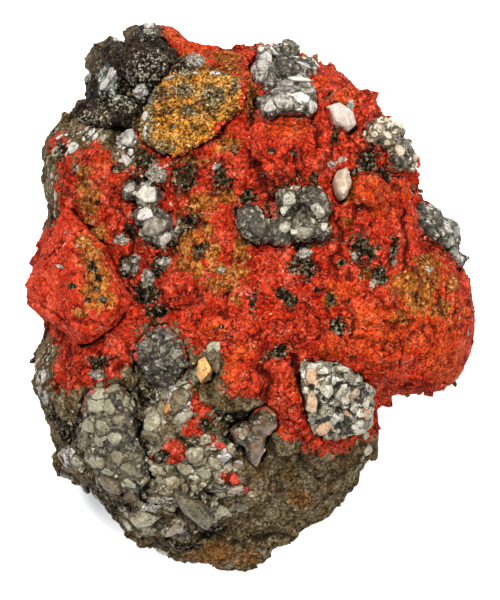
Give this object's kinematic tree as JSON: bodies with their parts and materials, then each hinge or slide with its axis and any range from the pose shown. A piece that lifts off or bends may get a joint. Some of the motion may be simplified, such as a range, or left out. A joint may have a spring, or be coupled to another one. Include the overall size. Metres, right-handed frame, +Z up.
{
  "type": "minium specimen",
  "caption": "Broken mineral hand specimen: orange-red earthy crust over grey-brown stone, set with pale and dark crystals, lying on its flat back.",
  "frame": {"origin": "on the plane of the flat back that the stone rests on, under the middle of the face", "axes": "+Z up out of the red face, +Y along the longest way of the stone towards the end with the dark druse, +X across towards the overhanging red mass"},
  "size_m": [0.0566, 0.0698, 0.0366],
  "materials": {
    "matrix": "rough, granular brown-grey stone",
    "minium_crust": "earthy orange-red crust, dull",
    "minium_block": "earthy brick-red block, dull",
    "ochre_block": "granular yellow-brown ochre",
    "speckled_block": "cream-white stone with black flecks",
    "galena_druse": "dark grey grains with a dull sparkle",
    "cerussite_cluster": "grey-white blades, half clear",
    "cerussite_knob": "beige and white grains",
    "cerussite_spur": "white grains with grey dust",
    "pocket_cluster": "grey and white crystals, half clear",
    "cerussite_crust": "pale greenish-grey mass, waxy",
    "quartz_cluster": "warm grey clear crystals",
    "quartz_pebble": "milky pink-white crystal",
    "quartz_blade": "milky cream crystal",
    "grey_lump": "dark grey granular stone",
    "cerussite_vein": "white to grey rounded grains"
  },
  "bodies": {
    "root": {"matrix": "matrix", "minium_crust": "minium_crust", "minium_block": "minium_block", "ochre_block": "ochre_block", "speckled_block": "speckled_block", "galena_druse": "galena_druse", "cerussite_cluster": "cerussite_cluster", "cerussite_knob": "cerussite_knob", "cerussite_spur": "cerussite_spur", "pocket_cluster": "pocket_cluster", "cerussite_crust": "cerussite_crust", "quartz_cluster": "quartz_cluster", "quartz_pebble": "quartz_pebble", "quartz_blade": "quartz_blade", "grey_lump": "grey_lump", "cerussite_vein": "cerussite_vein"}
  },
  "joints": []
}
